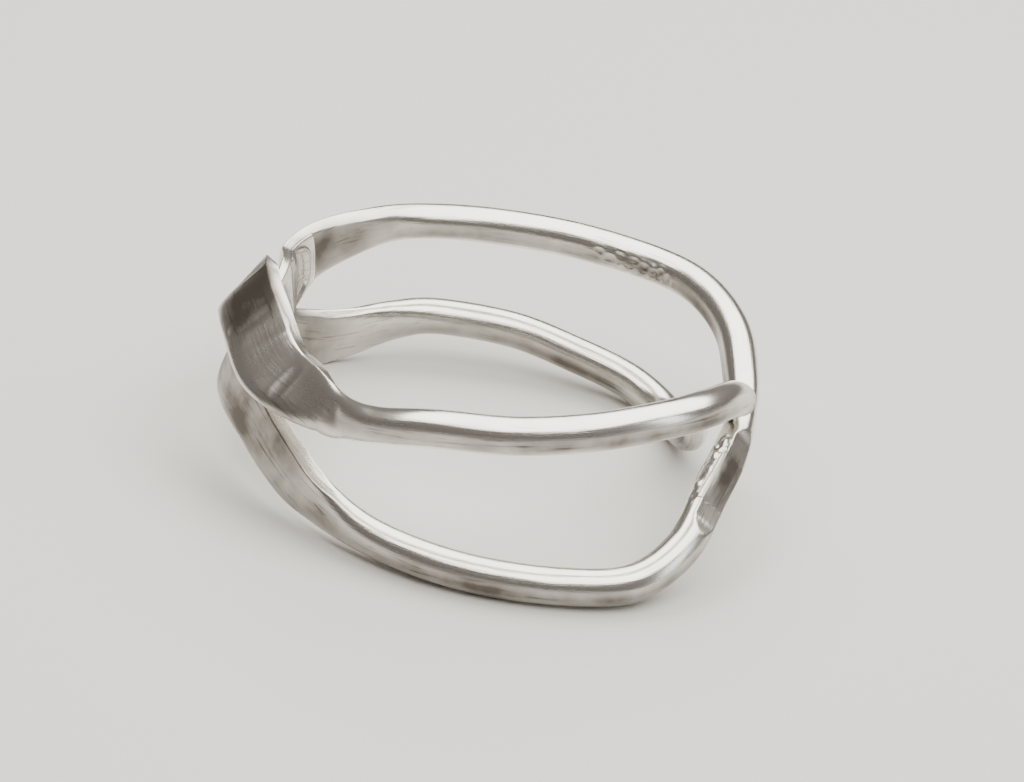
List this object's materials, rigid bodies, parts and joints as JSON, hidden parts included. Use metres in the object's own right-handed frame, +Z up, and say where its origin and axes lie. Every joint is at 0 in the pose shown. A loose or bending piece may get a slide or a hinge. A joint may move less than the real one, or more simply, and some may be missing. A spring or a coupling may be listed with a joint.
{
  "type": "linked ring puzzle",
  "caption": "Linked polished wire hoops, forged flat where they cross at one side and round at the other, swinging through each other as a small finger-ring puzzle.",
  "frame": {"origin": "on the resting plane, under the middle of the bounding box", "axes": "+Z up along the finger hole, +X from the forged flat crossing towards the round crossing, -Y the front with the two open strands"},
  "size_m": [0.0209, 0.0196, 0.008],
  "materials": {
    "base_silver": "polished",
    "swing_silver": "polished",
    "lap_silver": "satin",
    "seam_solder": "satin",
    "bead_solder": "satin"
  },
  "bodies": {
    "base": {"base_hoop": "base_silver", "base_hoop_lap_end": "lap_silver", "base_hoop_solder_seam": "seam_solder"},
    "swing": {"swing_hoop": "swing_silver", "swing_hoop_solder_bead": "bead_solder"}
  },
  "joints": [
    {"name": "hoop_swing", "type": "hinge", "parent": "base", "child": "swing", "pos_m": [0, 0.0016, 0.0035], "axis": [-1, 0, 0], "range_deg": [0, 45]}
  ]
}
